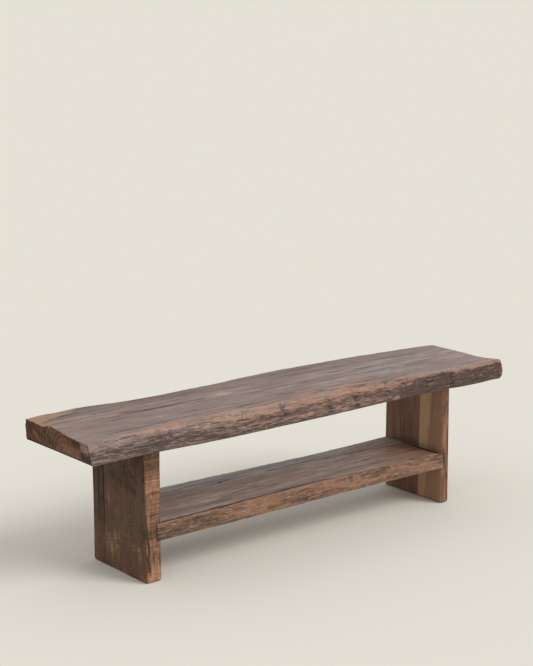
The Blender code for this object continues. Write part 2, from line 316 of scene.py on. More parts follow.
wood = blended(tree, between(tree, level, 0.50, 0.98), wood, light)
worn = between(tree, weighed(tree, (warm, 1.0), (cloud, 0.3), (fibre, 0.4), (pitted, 0.4)), 0.45, 1.35)
worn_wood = blended(tree, between(tree, level, -0.15, 0.75), dark, warm_wood)
wood = blended(tree, worn, wood, worn_wood)
dirt_and_shade = between(tree, weighed(tree, (dirt, 1.0), (fibre, -0.3), (cloud, 0.2), (pitted, -0.35)), 0.10, 0.80)
wood = blended(tree, dirt_and_shade, wood, dirt_colour)
specks = sums(tree, "MULTIPLY", weighed(tree, (cracks, 0.7), (pores, 0.4)), given["Contrast"])
wood = blended(tree, specks, wood, dirt_colour)
grey = put(tree, "ShaderNodeRGBToBW", {"Color": wood}).outputs[0]
silver = vectors(tree, "MULTIPLY", grey, (1.06, 1.0, 1.0))
cold = between(tree, weighed(tree, (warm, -1.0), (cloud, 0.3)), 0.10, 1.0)
feed(tree, result, {
    "Colour": blended(tree, cold, wood, silver),
    "Roughness": sums(tree, "ADD", weighed(tree, (fibre, 0.15), (dirt_and_shade, 0.15)), 0.55),
    "Height": weighed(tree, (fibre, 1.0), (pores, -0.8), (cracks, -1.6), (pitted, 1.5))})


def board_material(name, stretch, patch, dark, middle, light, warm, dirt, contrast, shine):
    """A waxed board: its grain, its tones, and the wear, dirt, painted shade and painted highlights that its
    mesh is marked with.
    """
    material, tree, surface = blank_material(name)
    grain = put(tree, "ShaderNodeGroup", {"Place": own_place(tree), "Stretch": stretch, "Patch": patch},
                node_tree=wood_grain)
    sockets = {socket: grain.outputs[socket] for socket in GRAIN}
    sockets |= {socket: marked(tree, socket) for socket in MARKS}
    sockets |= {socket: (*colour, 1) for socket, colour in zip(WOODS, (dark, middle, light, warm, dirt))}
    finish = put(tree, "ShaderNodeGroup", sockets | {"Contrast": contrast}, node_tree=board_finish).outputs
    bump = put(tree, "ShaderNodeBump", {"Strength": 0.5, "Distance": 0.0008, "Height": finish["Height"]})
    feed(tree, surface, {"Base Color": finish["Colour"], "Roughness": finish["Roughness"],
                         "Normal": bump.outputs["Normal"], "Specular IOR Level": shine})
    return material


def leg_board(node, inward, corner, flare, step):
    """A leg board, from its CAD box: a section through its faces and worn edge, carried up from the foot.
    The section is clipped to the housing's floor between the levels where the shelf enters, and it grows
    thicker on both faces by the flare towards the seat."""
    low, high = (np.array(spot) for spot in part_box(node))
    shelf_low, shelf_high = (np.array(spot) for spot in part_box("shelf_board"))
    height = high[2]
    thick = high[0] - low[0]
    outer = low[0] if inward > 0 else high[0]
    front = "front" in node
    worn, joint = (low[1], high[1]) if front else (high[1], low[1])
    wide = abs(joint - worn)
    floor = inward * ((shelf_low[0] if inward > 0 else shelf_high[0]) - outer) - SHELF_FIT

    turn = np.linspace(0, math.pi / 2, 5)
    face = np.linspace(wide - GLUE_LINE, corner, int(wide / FACE_STEP))[:-1]
    edge = np.linspace(corner, floor, int(thick / EDGE_STEP))[1:]
    into = np.concatenate([[GLUE_LINE], 0 * face, corner * (1 - np.cos(turn)), edge,
                           thick - corner * (1 - np.cos(turn[::-1])), 0 * face + thick, [thick - GLUE_LINE]])
    back = np.concatenate([[wide], face, corner * (1 - np.sin(turn)), 0 * edge,
                           corner * (1 - np.sin(turn[::-1])), face[::-1], [wide]])
    glue = np.linspace(floor, 2 * GLUE_LINE, 5)
    foot = LEG_FOOT * (1 - np.cos(np.linspace(0, math.pi / 2, 7)))[:-1]
    sill, lintel = shelf_low[2] - SHELF_FIT, shelf_high[2] + SHELF_FIT
    parts = [foot, np.linspace(LEG_FOOT, sill, int(sill / step)),
             np.linspace(sill, lintel, int((lintel - sill) / step)),
             np.linspace(lintel, height, int((height - lintel) / step))]
    limits = (thick, thick, floor, thick)
    level = np.concatenate(parts)[:, None]
    clip = np.concatenate([part * 0 + limit for part, limit in zip(parts, limits)])[:, None]
    inset = LEG_FOOT - np.sqrt(np.maximum(LEG_FOOT**2 - np.maximum(LEG_FOOT - level, 0) ** 2, 0))
    edge_y = worn + front * LEG_LEAN * level / height

    def carried(into, back):
        depth = np.minimum(into[None, :], clip)
        side = depth / thick
        lean = flare * np.maximum(level - lintel, 0) / (height - lintel)
        x = outer + inward * (depth + inset * (0.2 - side) - lean * (1 - side)
                              + lean * side * (clip == thick))
        y = edge_y + (joint - edge_y) * back / wide + np.sign(joint - worn) * inset * (1 - back / wide)
        return np.stack(np.broadcast_arrays(x, y, level), axis=-1)

    return closed_loft(carried(into, back), carried(glue, glue * 0 + wide), 4)


def leg_shares(normal, front):
    """How far each point of a leg board belongs to its worn edge, its faces and its rubbed corners."""
    edge = ease(-normal[:, 1] if front else normal[:, 1], 0.5, 0.9)
    face = 1 - ease(np.abs(normal[:, 1]), 0.3, 0.7)
    rub = ease(1 - np.abs(normal).max(axis=1), 0.02, 0.25)
    return edge, face, rub


left_leg_wood = board_material(
    "left_leg_waxed", (14, 14, 0.6), (8, 8, 1), (0.058, 0.033, 0.022), (0.128, 0.073, 0.047),
    (0.255, 0.152, 0.098), (0.480, 0.255, 0.142), (0.022, 0.015, 0.012), 0.30, 0.12)
for node, step in (("left_leg_front_board", 0.0012), ("left_leg_rear_board", 0.003)):
    points, triangles = leg_board(node, 1, LEFT_LEG_CORNER, LEFT_LEG_FLARE, step)
    normal = outward(points, triangles)
    x, y, z = points.T
    front = "front" in node
    edge, face, rub = leg_shares(normal, front)
    wander = (0.0040 * rough(points * (0, 0, 1), (1, 1, 0.024), 5, 2)
              + 0.0012 * rough(points, (0.08, 0.05, 0.03), 6))
    wave = (0.6 * np.sin(2 * math.pi * (z + wander) / SAW_PITCH)
            + 0.8 * rough(points, (0.09, 0.2, 0.0036), 7, 1))
    strength = (0.75 + 0.4 * rough(points * (0, 0, 1), (1, 1, 0.020), 9)
                + 0.3 * rough(points, (0.03, 0.05, 0.02), 10))
    strength = np.clip(strength, 0.30, 1.1) * ease(z, 0.07, 0.13)
    bleached = (edge * bell(z, BLEACHED_LEVEL, BLEACHED_REACH)
                * ease(rough(points, (0.02, 0.05, 0.012), 12), -0.8, 0.3))
    cut = -edge * strength * wave * (1 - 0.8 * bleached)
    clouds = rough(points, (0.2, 0.045, 0.07), 19)
    spots = rough(points, (0.012, 0.014, 0.012), 21)
    shreds = rough(points, (0.005, 0.02, 0.05), 25)
    cross = (np.sin(2 * math.pi * (z + 0.20 * y + 2 * wander) / CROSS_PITCH)
             * ease(rough(points, (1, 0.08, 0.06), 17), -0.5, 0.8))
    torn_off = x - through(z, SPLINTER) - 0.0012 * rough(points, (1, 1, 0.012), 23)
    low_down = ease(z, 0.222, 0.195) * ease(z, 0.030, 0.055)
    torn = edge * front * ease(torn_off, 0.0010, -0.0010) * low_down
    rift = edge * front * bell(torn_off, 0, 0.0012) * low_down
    lines = bell(y, JOINT, LINE_WIDTH) + 0.8 * bell(y, REAR_STRIP, LINE_WIDTH)
    lines = lines * face * ease(z, 0.06, 0.18)
    foot = edge * ease(z, 0.060, 0.025)
    lower = edge * ease(z, 0.16, 0.10)
    rim = edge * front * ease(x, -0.6005, -0.6035) * ease(z, 0.110, 0.070) * ease(z, 0.012, 0.045)
    smudge = edge * front * blot(x, z, *FOOT_SMUDGE)
    dip = (0.0003 + 0.0002 * rough(points, (0.02, 0.02, 0.25), 11)
           + 0.0007 * rub * (1 + rough(points, (0.02,) * 3, 13)))
    dip = dip + 0.0005 * cut + 0.0010 * torn + 0.0008 * rift + 0.0006 * lines
    # On the face, the term that darkens the top towards the front, under the seat's overhang, is painted shade
    # of the seat
    tone = face * (0.02 + 0.18 * clouds + 0.14 * spots + 0.08 * cross - 0.18 * ease(z, 0.05, 0.28)
                   - 0.16 * ease(z, 0.28, 0.38) * ease(y, 0.05, -0.06)
                   - 0.10 * ease(y, JOINT - 0.002, JOINT + 0.002) + 0.10 * bell(y, PALE_STRIP, 0.006))
    tone = tone + edge * (0.10 * spots + 0.14 * clouds - 0.28 - 0.36 * cut) - 0.10 * torn + 0.24 * foot
    tone = tone + lower * 0.16 * shreds + 0.20 * bleached
    warm = np.clip(edge * (1.0 - 0.5 * torn - 0.35 * bleached - 0.25 * foot * ease(-spots, -0.2, 0.6))
                   + 0.30 * rub + face * front * 0.28 * ease(clouds + 0.5 * spots, 0.0, 0.9)
                   * ease(z, 0.22, 0.06), 0, 1)
    dirt = np.clip(0.85 * rift + 0.95 * lines + 0.6 * rim + 0.42 * smudge
                   + 0.5 * foot * ease(x, -0.580, -0.603) * ease(spots, -0.1, 0.6)
                   + 0.25 * lower * ease(-shreds, 0.2, 0.9), 0, 1)
    marks = {"tone": tone, "warm": warm, "dirt": dirt, "rough": 0.30 * face + edge * (0.15 + 0.4 * lower)}
    board(node, points - normal * dip[:, None], triangles, marks, left_leg_wood)


# Right leg: two boards glued and dowelled like the left one, but thinner. On its inner face a band of pale
# sapwood runs beside the joint, and the board behind is dark heartwood. Its corners are worn rounder.
RIGHT_LEG_CORNER = 0.005
SAPWOOD_BAND = ((0.0, -0.068), (0.2, -0.081), (0.39, -0.094))

right_leg_wood = board_material(
    "right_leg_waxed", (8, 8, 0.5), (8, 8, 1), (0.125, 0.069, 0.049), (0.300, 0.168, 0.105),
    (0.530, 0.330, 0.180), (0.340, 0.165, 0.092), (0.030, 0.020, 0.015), 0.15, 0.12)
for node in ("right_leg_front_board", "right_leg_rear_board"):
    points, triangles = leg_board(node, -1, RIGHT_LEG_CORNER, 0.0, 0.0025)
    normal = outward(points, triangles)
    x, y, z = points.T
    front = "front" in node
    edge, face, rub = leg_shares(normal, front)
    clouds = rough(points, (0.2, 0.016, 0.20), 41)
    fibres = rough(points, (0.0055, 0.02, 0.035), 49)
    pale = face * front * ease(y - through(z, SAPWOOD_BAND) - 0.004 * clouds, -0.004, 0.004)
    # Painted shade on the inner face just above the shelf, towards the front, where the shelf meets the leg
    shelf_contact_shade = (ease(-normal[:, 0], 0.3, 0.7) * ease(z, 0.196, 0.171) * ease(z, 0.160, 0.168)
             * ease(y, 0.12, 0.0))
    margin = edge * ease(x + 0.0025 * rough(points, (1, 1, 0.03), 47), 0.5835, 0.5885)
    dip = (0.0003 + 0.0002 * rough(points, (0.02, 0.02, 0.25), 43)
           + 0.0010 * rub * (1 + rough(points, (0.02,) * 3, 45)))
    dip = dip + edge * 0.0008 * (1 + fibres)
    tone = (face * (0.12 * clouds + (0.02 if front else -0.265)) + 0.30 * pale
            - edge * (0.16 - 0.40 * fibres) - 0.30 * margin - 0.25 * shelf_contact_shade)
    warm = np.clip(edge * (0.9 - 0.4 * margin) + 0.3 * rub, 0, 1)
    dirt = np.clip(0.30 * margin + edge * 0.25 * ease(-fibres, 0.1, 0.7) + 0.25 * shelf_contact_shade, 0, 1)
    marks = {"tone": tone, "warm": warm, "dirt": dirt, "rough": 0.15 * face + 0.6 * edge}
    board(node, points - normal * dip[:, None], triangles, marks, right_leg_wood)


# Shelf: one thick board, its sawn ends let into the housings of both legs and screwed there from outside.
# Its top is worn smooth and grey, and its front edge is the rough outside of the log with the bark rubbed
# off.
REAR_FULLNESS = 0.35
CROWD_MIDDLE = 0.58
SHELF_ARRIS = 0.0008
SHELF_REAR_ROUND = 0.005
SHELF_STEP = 0.0028
SHELF_COUNTS = (34, 66, 16, 12)
SHELF_REAR = ((-0.571, 0.123), (-0.344, 0.1265), (-0.080, 0.120), (0.264, 0.113), (0.430, 0.117),
              (0.576, 0.124))
SHELF_FOOT = ((-0.571, -0.145), (-0.300, -0.144), (0.000, -0.140), (0.314, -0.138), (0.576, -0.142))
SHELF_SHOULDER = ((-0.571, -0.142), (-0.500, -0.139), (-0.337, -0.134), (-0.180, -0.127), (-0.022, -0.122),
                  (0.183, -0.121), (0.444, -0.120), (0.545, -0.128), (0.576, -0.139))
SHELF_GRAIN_LINES = (((-0.33, -0.078), (-0.07, -0.012), 0.0036), ((-0.30, -0.050), (-0.12, -0.004), 0.0030),
                     ((-0.25, 0.052), (-0.13, 0.064), 0.0040), ((0.05, -0.020), (0.33, 0.012), 0.0020),
                     ((0.15, -0.060), (0.42, -0.030), 0.0020), ((-0.52, 0.070), (-0.20, 0.085), 0.0050),
                     ((-0.05, 0.060), (0.25, 0.070), 0.0040), ((0.28, 0.055), (0.50, 0.030), 0.0030))
SHELF_KNOT = (-0.191, 0.058, 0.007, 0.0055)
SHELF_WORN_PATCH = ((-0.475, -0.012), (-0.365, 0.028), 0.009)
FLAKE_PITCH = 0.0105


def stroke(u, v, start, end, width):
    """A soft line on a face: 1 along the line from start to end, fading over its width and to both ends."""
    way = np.subtract(end, start)
    length = math.hypot(*way)
    along = ((u - start[0]) * way[0] + (v - start[1]) * way[1]) / length
    off = ((u - start[0]) * way[1] - (v - start[1]) * way[0]) / length
    fade = ease(along, 0, 0.2 * length) * ease(length - along, 0, 0.2 * length)
    return fade * bell(off, 0, width)


def stations(start, end, arris, step):
    """Places along a board, closer together round the arris of each end."""
    turn = arris * (1 - np.cos(np.linspace(0, math.pi / 2, 5)))[:-1]
    inner = np.linspace(start + arris, end - arris, int((end - start) / step))
    return np.concatenate([start + turn, inner, end - turn[::-1]])


def plank(x, foot, shoulder, rear, bottom, top, arris, rear_round, power, counts, crowd=0.0):
    """A plank with a waney front, as sections along X. Up the wane, y goes from the foot to the shoulder as
    t and z rises as 1 - (1 - t) to a power, so that it stands steep below and meets the top level; t is
    spaced by the length of that curve. The rear edge is a superellipse. A fourth column counts the way
    round: 0 to 1 up the wane, 1 to 2 over the top, 2 to 3 down the rear edge and 3 to 4 under the board. The
    last sections are drawn in to an arris. A crowd above 0 draws the points of the top closer together past
    its middle."""
    on_wane, on_top, on_rear, under = counts
    t = np.linspace(0, 1, 400)
    climb = np.diff(1 - (1 - t) ** np.mean(power))
    curve = np.concatenate([[0], np.cumsum(np.hypot(0.5 * np.diff(t), climb))])
    t = np.interp(np.linspace(0, curve[-1], on_wane), curve, t)
    s = np.linspace(0, 1, on_top + 2)[1:-1]
    whole = 2 * math.pi
    s = s - crowd * (np.sin(whole * (s - CROWD_MIDDLE)) + math.sin(whole * CROWD_MIDDLE)) / whole
    r = np.linspace(0, 1, on_rear)
    u = np.linspace(0, 1, under + 2)[1:-1]
    slope = math.pi * (0.5 - r)
    bulge = np.abs(np.cos(slope)) ** REAR_FULLNESS
    rise = np.sign(slope) * np.abs(np.sin(slope)) ** REAR_FULLNESS
    ends = np.minimum(x - x[0], x[-1] - x)
    inset = arris - np.sqrt(np.maximum(arris**2 - np.maximum(arris - ends, 0) ** 2, 0))
    power = power + 0 * x
    x, foot, shoulder, rear, inset, power = (
        value[:, None] for value in (x, foot, shoulder, rear, inset, power))
    middle, half = (top + bottom) / 2, (top - bottom) / 2
    back = rear - rear_round
    y = np.concatenate([foot + (shoulder - foot) * t, shoulder + (back - shoulder) * s,
                        back + rear_round * bulge, back + (foot - back) * u], axis=1)
    z = np.concatenate([bottom + 2 * half * (1 - (1 - t) ** power), top + 0 * x * s,
                        middle + half * rise + 0 * x, bottom + 0 * x * u], axis=1)
    y = y - np.sign(y) * inset
    z = middle + (z - middle) * (1 - inset / half)
    way = np.concatenate([np.linspace(0, 1, on_wane), 1 + s, 2 + r, 3 + u])
    ring = np.stack(np.broadcast_arrays(x, y, z, way), axis=-1)
    return ring[:, :-under], ring[:, -under:]


def rear_edge(way):
    """How far a point belongs to the rear edge, from its way round."""
    return ease(way, 2.04, 2.18) * ease(way, 3.02, 2.88)


def weathered_edge(points, way, fissures, seed):
    """The rough outside of the log on the waney front and the rear edge, as heights and marks: long fibres,
    flakes that lap like shingles, knobs, and fissures that run up the edge. A fissure has its place along X,
    the ways round at which it starts and ends, and its width. Gives the share of edge, the height, and the
    pattern of each."""
    x, _, z = points.T
    edge = ease(way, 1.02, 0.80) + rear_edge(way)
    fibres = rough(points, (0.045, 0.014, 0.0042), seed)
    knobs = rough(points, (0.016, 0.012, 0.0065), seed + 10)
    flake = (z / FLAKE_PITCH + 1.1 * rough(points, (0.130, 0.2, 0.06), seed + 20, 2)) % 1
    flaky = flake**4 * ease(rough(points, (0.085, 0.2, 0.028), seed + 30, 2), -0.25, 0.45)
    cracks = np.zeros(len(x))
    ragged = 0.005 * rough(points, (0.010, 0.02, 0.006), seed + 40)
    for place, start, end, width in fissures:
        wander = 0.0025 * rough(points, (1, 1, 0.02), seed + int(1000 * abs(place)), 2)
        cracks = np.maximum(cracks, ease(np.abs(x - place - wander) + ragged, width, 0.2 * width)
                            * ease(way, start - 0.10, start + 0.05) * ease(way, end + 0.10, end - 0.05))
    cracks = cracks * (0.75 + 0.25 * rough(points, (0.006, 0.006, 0.006), seed + 50, 2))
    height = 0.0012 * fibres + 0.0012 * knobs - 0.0015 * flaky - 0.0018 * cracks
    return edge, height * edge * ease(way, 0.0, 0.12), fibres, knobs, flaky, cracks


low, high = (np.array(spot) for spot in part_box("shelf_board"))
x = stations(low[0], high[0], SHELF_ARRIS, SHELF_STEP)
line = np.stack([x, 0 * x, 0 * x], axis=-1)
shoulder = through(x, SHELF_SHOULDER) + 0.0015 * rough(line, (0.03, 1, 1), 261)
upper, lower = plank(x, through(x, SHELF_FOOT), shoulder, through(x, SHELF_REAR), low[2], high[2],
                     SHELF_ARRIS, SHELF_REAR_ROUND, 5.5 - 3.0 * ease(x, -0.2, 0.45), SHELF_COUNTS)
points, triangles = closed_loft(upper, lower, 6)
points, way = points[:, :3], points[:, 3]
normal = outward(points, triangles)
x, y, _ = points.T
edge, height, fibres, knobs, flakes, _ = weathered_edge(points, way, (), 200)
inside = ease(np.minimum(x - low[0], high[0] - x), 0.012, 0.018)
flat = ease(normal[:, 2], 0.7, 0.95)
wavy = y + 0.002 * rough(points, (0.05, 1, 1), 271)
lines = np.max([stroke(x, wavy, *spots) for spots in SHELF_GRAIN_LINES], axis=0)
knot = blot(x, y, *SHELF_KNOT)
patch = stroke(x, y, *SHELF_WORN_PATCH)
# Where the shelf meets the right leg its top dips a little and is painted dark: painted shade in the joint
contact_dip_and_shade = flat * ease(x, 0.544 + 0.010 * ease(y, -0.06, 0.10), 0.558) * ease(y, 0.12, -0.04)
height = height + flat * (0.00025 * rough(points, (0.20, 0.010, 0.2), 240)
                          + 0.0004 * rough(points, (0.3, 0.06, 0.2), 250, 2)
                          - 0.0006 * lines - 0.001 * knot - 0.0015 * contact_dip_and_shade)
# A light orange line along the worn front arris: painted highlight on worn wood
arris = bell(way, 0.82, 0.055) * ease(x, 0.25, -0.05)
mottle = rough(points, (0.012, 0.010, 0.0080), 287, 2)
flecks = edge * ease(rough(points, (0.016, 0.010, 0.0040), 289, 2), 0.25, 0.75)
seam = bell(way, 0.99, 0.040) * ease(x, 0.30, 0.0)
ends = edge * np.maximum(ease(x, low[0] + 0.030, low[0] + 0.004), 0.2 * ease(x, high[0] - 0.03, high[0]))
lip = edge * ease(x, low[0] + 0.0075, low[0] + 0.0035)
ruddy = flat * ease(x + 0.5 * y, 0.22, 0.48) * ease(y, 0.09, -0.02)
bluish = flat * ease(y, 0.02, 0.08) * ease(x, 0.45, 0.20)
rightward = ease(x, -0.45, -0.15)
tone = flat * (0.05 + 0.22 * rough(points, (0.16, 0.022, 1), 281) + 0.20 * ease(y, 0.045, 0.075)
               + 0.06 * ease(x, 0.0, 0.4))
tone = tone - 0.12 * ruddy + 0.25 * flat * patch + edge * 0.12 * rough(points, (0.09, 0.1, 0.022), 283)
shade = (0.26 - 0.12 * fibres - 0.12 * knobs - 0.10 * mottle - 0.28 * flecks - 0.14 * rightward
         + 0.15 * ends)
tone = tone - edge * shade + 0.60 * arris
warm = np.clip(edge * (0.80 + 0.10 * knobs + 0.40 * mottle - 0.35 * flecks + 0.15 * rightward)
               + 0.4 * arris - 0.45 * bluish
               + flat * (0.4 * patch + 0.22 * ease(y, 0.05, 0.02)
                         + 0.30 * rough(points, (0.12, 0.03, 1), 285))
               + 0.36 * ruddy, -1, 1)
dirt = np.clip(edge * (0.10 * flakes - 0.03 * mottle + 0.16 * ease(-fibres - knobs, 0.3, 1.6) - 0.10 * x
                       + 0.22 * ends + 0.45 * lip)
               + flat * (0.60 * lines + 1.3 * knot) + 0.8 * contact_dip_and_shade + seam - 0.5 * arris, 0, 1)
shelf_wood = board_material(
    "shelf_worn", (0.9, 14, 14), (0.9, 13, 13), (0.095, 0.060, 0.044), (0.295, 0.217, 0.179),
    (0.430, 0.358, 0.333), (0.320, 0.172, 0.106), (0.045, 0.028, 0.020), 0.80, 0.12)
board("shelf_board", points + normal * (height * inside)[:, None], triangles,
      {"tone": tone, "warm": warm, "dirt": dirt, "rough": 0.6 * edge + 0.35 * flat}, shelf_wood)


# Seat: a slab sawn through the log, with the waney outside of the log kept along both long edges. The top is
# worn smooth and grey, its front shoulder is rubbed through to warm wood and carries painted sheen, and the
# left end has opened in a drying check.
SEAT_ARRIS = 0.003
SEAT_REAR_ROUND = 0.007
SEAT_STEP = 0.0029
SEAT_COUNTS = (52, 80, 16, 12)
SEAT_CROWD = 0.6
LEFT_END = ((-0.186, -0.8060), (-0.128, -0.8060), (0.060, -0.8055), (0.155, -0.8060))
RIGHT_END = ((-0.180, 0.8160), (-0.150, 0.8135), (-0.115, 0.7960), (0.000, 0.7945), (0.150, 0.7945))
LEFT_UNDERCUT = 0.005
RIGHT_UNDERCUT = 0.012
UNDERCUT_REACH = 0.03
SEAT_REAR = ((-0.805, 0.156), (-0.766, 0.165), (-0.690, 0.168), (-0.610, 0.174), (-0.545, 0.166),
             (-0.448, 0.155), (-0.378, 0.153), (-0.250, 0.158), (-0.107, 0.163), (-0.021, 0.172),
             (0.065, 0.178), (0.316, 0.178), (0.489, 0.173), (0.574, 0.166), (0.706, 0.157), (0.769, 0.149),
             (0.805, 0.142))
SEAT_FOOT = ((-0.805, -0.184), (-0.568, -0.177), (-0.511, -0.181), (-0.074, -0.181), (0.089, -0.176),
             (0.263, -0.166), (0.566, -0.166), (0.612, -0.170), (0.704, -0.171), (0.758, -0.166),
             (0.805, -0.168))
SEAT_SHOULDER = ((-0.805, -0.160), (-0.760, -0.159), (-0.685, -0.143), (-0.608, -0.152), (-0.512, -0.135),
                 (-0.414, -0.144), (-0.293, -0.126), (-0.186, -0.131), (-0.068, -0.127), (0.059, -0.118),
                 (0.148, -0.108), (0.239, -0.122), (0.365, -0.138), (0.519, -0.141), (0.590, -0.149),
                 (0.679, -0.144), (0.738, -0.142), (0.805, -0.152))
SEAT_FRONT_POWER = ((-0.805, 2.0), (-0.500, 2.2), (-0.200, 2.4), (0.100, 2.4), (0.350, 3.2), (0.805, 3.4))
SHOULDER_SHINE = ((-0.805, 0.15), (-0.700, 0.45), (-0.600, 0.80), (-0.450, 1.0), (0.805, 1.0))
SHOULDER_WEAR = ((-0.805, 0.004), (-0.650, 0.012), (-0.500, 0.030), (-0.400, 0.036), (-0.280, 0.020),
                 (-0.150, 0.022), (0.000, 0.022), (0.100, 0.030), (0.220, 0.030), (0.320, 0.012),
                 (0.420, 0.006), (0.805, 0.005))
SEAT_FISSURES = ((-0.536, 0.05, 0.75, 0.0080), (-0.270, 0.05, 0.80, 0.0150), (-0.118, 0.35, 0.95, 0.0140),
                 (0.058, 0.20, 0.70, 0.0140), (0.168, 0.05, 0.70, 0.0160), (0.302, 0.05, 0.85, 0.0170),
                 (0.472, 0.05, 0.60, 0.0060), (0.548, 0.55, 0.90, 0.0060), (0.580, 0.05, 0.65, 0.0120))
DRYING_CHECK = ((-0.806, 0.030), (-0.770, 0.046), (-0.700, 0.048), (-0.651, 0.036), (-0.595, 0.024),
                (-0.538, 0.026), (-0.484, 0.025), (-0.440, 0.022))
CHECK_MOUTH = 0.030
LEFT_BORDER = ((0.392, -0.134), (0.401, -0.132), (0.436, -0.128), (0.460, -0.121))
RIGHT_BORDER = ((0.392, -0.174), (0.405, -0.158), (0.420, -0.141), (0.446, -0.129), (0.460, -0.126))
LEFT_END_LIFT = ((-0.186, -0.004), (-0.108, -0.003), (-0.064, 0.000), (-0.031, 0.004), (0.005, 0.007),
                 (0.035, 0.008), (0.062, -0.001), (0.095, 0.001), (0.125, 0.002), (0.155, 0.001))
TOP_STREAKS = (((-0.60, 0.050), (-0.35, 0.018), 0.012), ((-0.74, 0.112), (-0.62, 0.120), 0.006),
               ((-0.76, -0.121), (-0.45, -0.110), 0.006), ((-0.40, 0.030), (-0.24, 0.036), 0.007),
               ((-0.30, -0.116), (-0.19, -0.108), 0.006), ((-0.13, -0.066), (0.02, -0.076), 0.006),
               ((0.18, 0.060), (0.46, 0.026), 0.007), ((0.18, -0.098), (0.38, -0.106), 0.005),
               ((-0.39, 0.099), (-0.33, 0.083), 0.005), ((-0.18, 0.088), (-0.02, 0.076), 0.006),
               ((-0.50, -0.060), (-0.20, -0.075), 0.004), ((0.30, -0.010), (0.62, -0.030), 0.006),
               ((0.40, 0.100), (0.70, 0.080), 0.006), ((-0.10, 0.010), (0.20, 0.000), 0.005))
SAP_CORNER = ((-0.806, 0.072), (-0.775, 0.098), (-0.722, 0.119), (-0.650, 0.150), (-0.610, 0.176))
SAP_FLAME = ((-0.806, 0.066), (-0.745, 0.079), (-0.695, 0.076), (-0.651, 0.070), (-0.600, 0.060))
FRONT_WARMTH = ((-0.805, -0.30), (-0.500, -0.15), (-0.300, 0.15), (-0.120, 0.25), (0.050, 0.45),
                (0.200, 0.55), (0.320, 0.46), (0.400, 0.38), (0.805, 0.36))
PALE_SPOTS = ((-0.489, -0.056, 0.006), (0.188, -0.107, 0.005), (0.484, -0.021, 0.012),
              (-0.193, 0.042, 0.024))
END_RAY = ((0.114, 0.430), (0.072, 0.397), 0.0032)
END_GLOW = (-0.065, 0.412, 0.06, 0.016)
END_STROKE = ((-0.128, 0.408), (-0.093, 0.392), 0.0030)

low, high = (np.array(spot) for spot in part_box("seat_slab"))
x = stations(low[0], high[0], SEAT_ARRIS, SEAT_STEP)
line = np.stack([x, 0 * x, 0 * x], axis=-1)
shoulder_line = through(x, SEAT_SHOULDER) + 0.0020 * rough(line, (0.04, 1, 1), 303)
foot_line = through(x, SEAT_FOOT) + 0.0010 * rough(line, (0.05, 1, 1), 301)
rear_line = through(x, SEAT_REAR) + 0.0012 * rough(line, (0.05, 1, 1), 305)
upper, lower = plank(x, foot_line, shoulder_line, rear_line, low[2], high[2], SEAT_ARRIS, SEAT_REAR_ROUND,
                     through(x, SEAT_FRONT_POWER), SEAT_COUNTS, SEAT_CROWD)
points, triangles = closed_loft(upper, lower, 16)
points, way = points[:, :3], points[:, 3]
x, y, z = points.T
along = (x - low[0]) / (high[0] - low[0])
share = np.clip((z - low[2]) / (high[2] - low[2]), 0, 1)
from_left = x - low[0]
shoulder = np.interp(x, line[:, 0], shoulder_line)
points[:, 0] = (1 - along) * through(y, LEFT_END) + along * through(y, RIGHT_END)
points[:, 0] += LEFT_UNDERCUT * (1 - share) ** 8 * np.exp(-from_left / UNDERCUT_REACH)
points[:, 0] -= RIGHT_UNDERCUT * (1 - share) ** 8 * np.exp((x - high[0]) / UNDERCUT_REACH)
notch = ease(np.abs(y - CHECK_MOUTH), 0.0060, 0.0005) * bell(from_left, 0, 0.045)
chipped = 0.0012 * rough(points * (0, 1, 0), (1, 0.014, 1), 307) * np.exp(-from_left / 0.010)
points[:, 2] += share**2 * (through(y, LEFT_END_LIFT) * bell(from_left, 0, 0.09) - 0.014 * notch + chipped)
normal = outward(points, triangles)
x, y, z = points.T
edge, height, fibres, knobs, flakes, cracks = weathered_edge(points, way, SEAT_FISSURES, 300)
flat = ease(normal[:, 2], 0.6, 0.95)
border = np.where(x < 0, through(z, LEFT_BORDER), through(z, RIGHT_BORDER))
past_border = y - border - 0.002 * rough(points, (0.1, 0.1, 0.012), 373)
end = ease(np.abs(normal[:, 0]), 0.55, 0.85) * ease(past_border, -0.004, 0.003)
corner = ease(-normal[:, 0], 0.3, 0.7) * ease(past_border, 0.003, -0.004)
off_check = y - through(x, DRYING_CHECK)
check_fade = ease(x, -0.43, -0.75)
check = bell(np.abs(off_check), 0, 0.0014 + 0.0022 * check_fade) * ease(x, -0.42, -0.47)
height = height + flat * (0.00022 * rough(points, (0.22, 0.010, 0.2), 351)
                          + 0.0005 * rough(points, (0.3, 0.07, 0.2), 361, 2)
                          - check * (0.0008 + 0.004 * check_fade))
height = height - end * 0.0005 * rough(points, (0.1, 0.02, 0.006), 371)
wavy = y + 0.003 * rough(points, (0.06, 1, 1), 381)
streaks = np.max([stroke(x, wavy, *spots) for spots in TOP_STREAKS], axis=0) * flat
corner_sap = ease(wavy - through(x, SAP_CORNER), -0.006, 0.006) * ease(x, -0.60, -0.66)
flame_width = 0.005 + 0.018 * ease(x, -0.635, -0.715)
off_flame = wavy - through(x, SAP_FLAME)
flame_sap = ease(np.abs(off_flame), flame_width, 0.002) * ease(x, -0.63, -0.66)
sap = flat * np.maximum(corner_sap, flame_sap)
line_side = flat * bell(off_check, 0.008, 0.0035) * ease(x, -0.66, -0.60) * ease(x, -0.45, -0.50)
spots = np.max([blot(x, y, u, v, size, 0.5 * size) for u, v, size in PALE_SPOTS], axis=0)
spots = np.minimum(1.4 * spots, 1) * ease(rough(points, (0.03, 0.006, 1), 387, 2), -0.7, 0.3)
smudge = flat * ease(off_flame, 0.006, 0.020) * (1 - corner_sap) * ease(x, -0.48, -0.62)
rear = rear_edge(way)
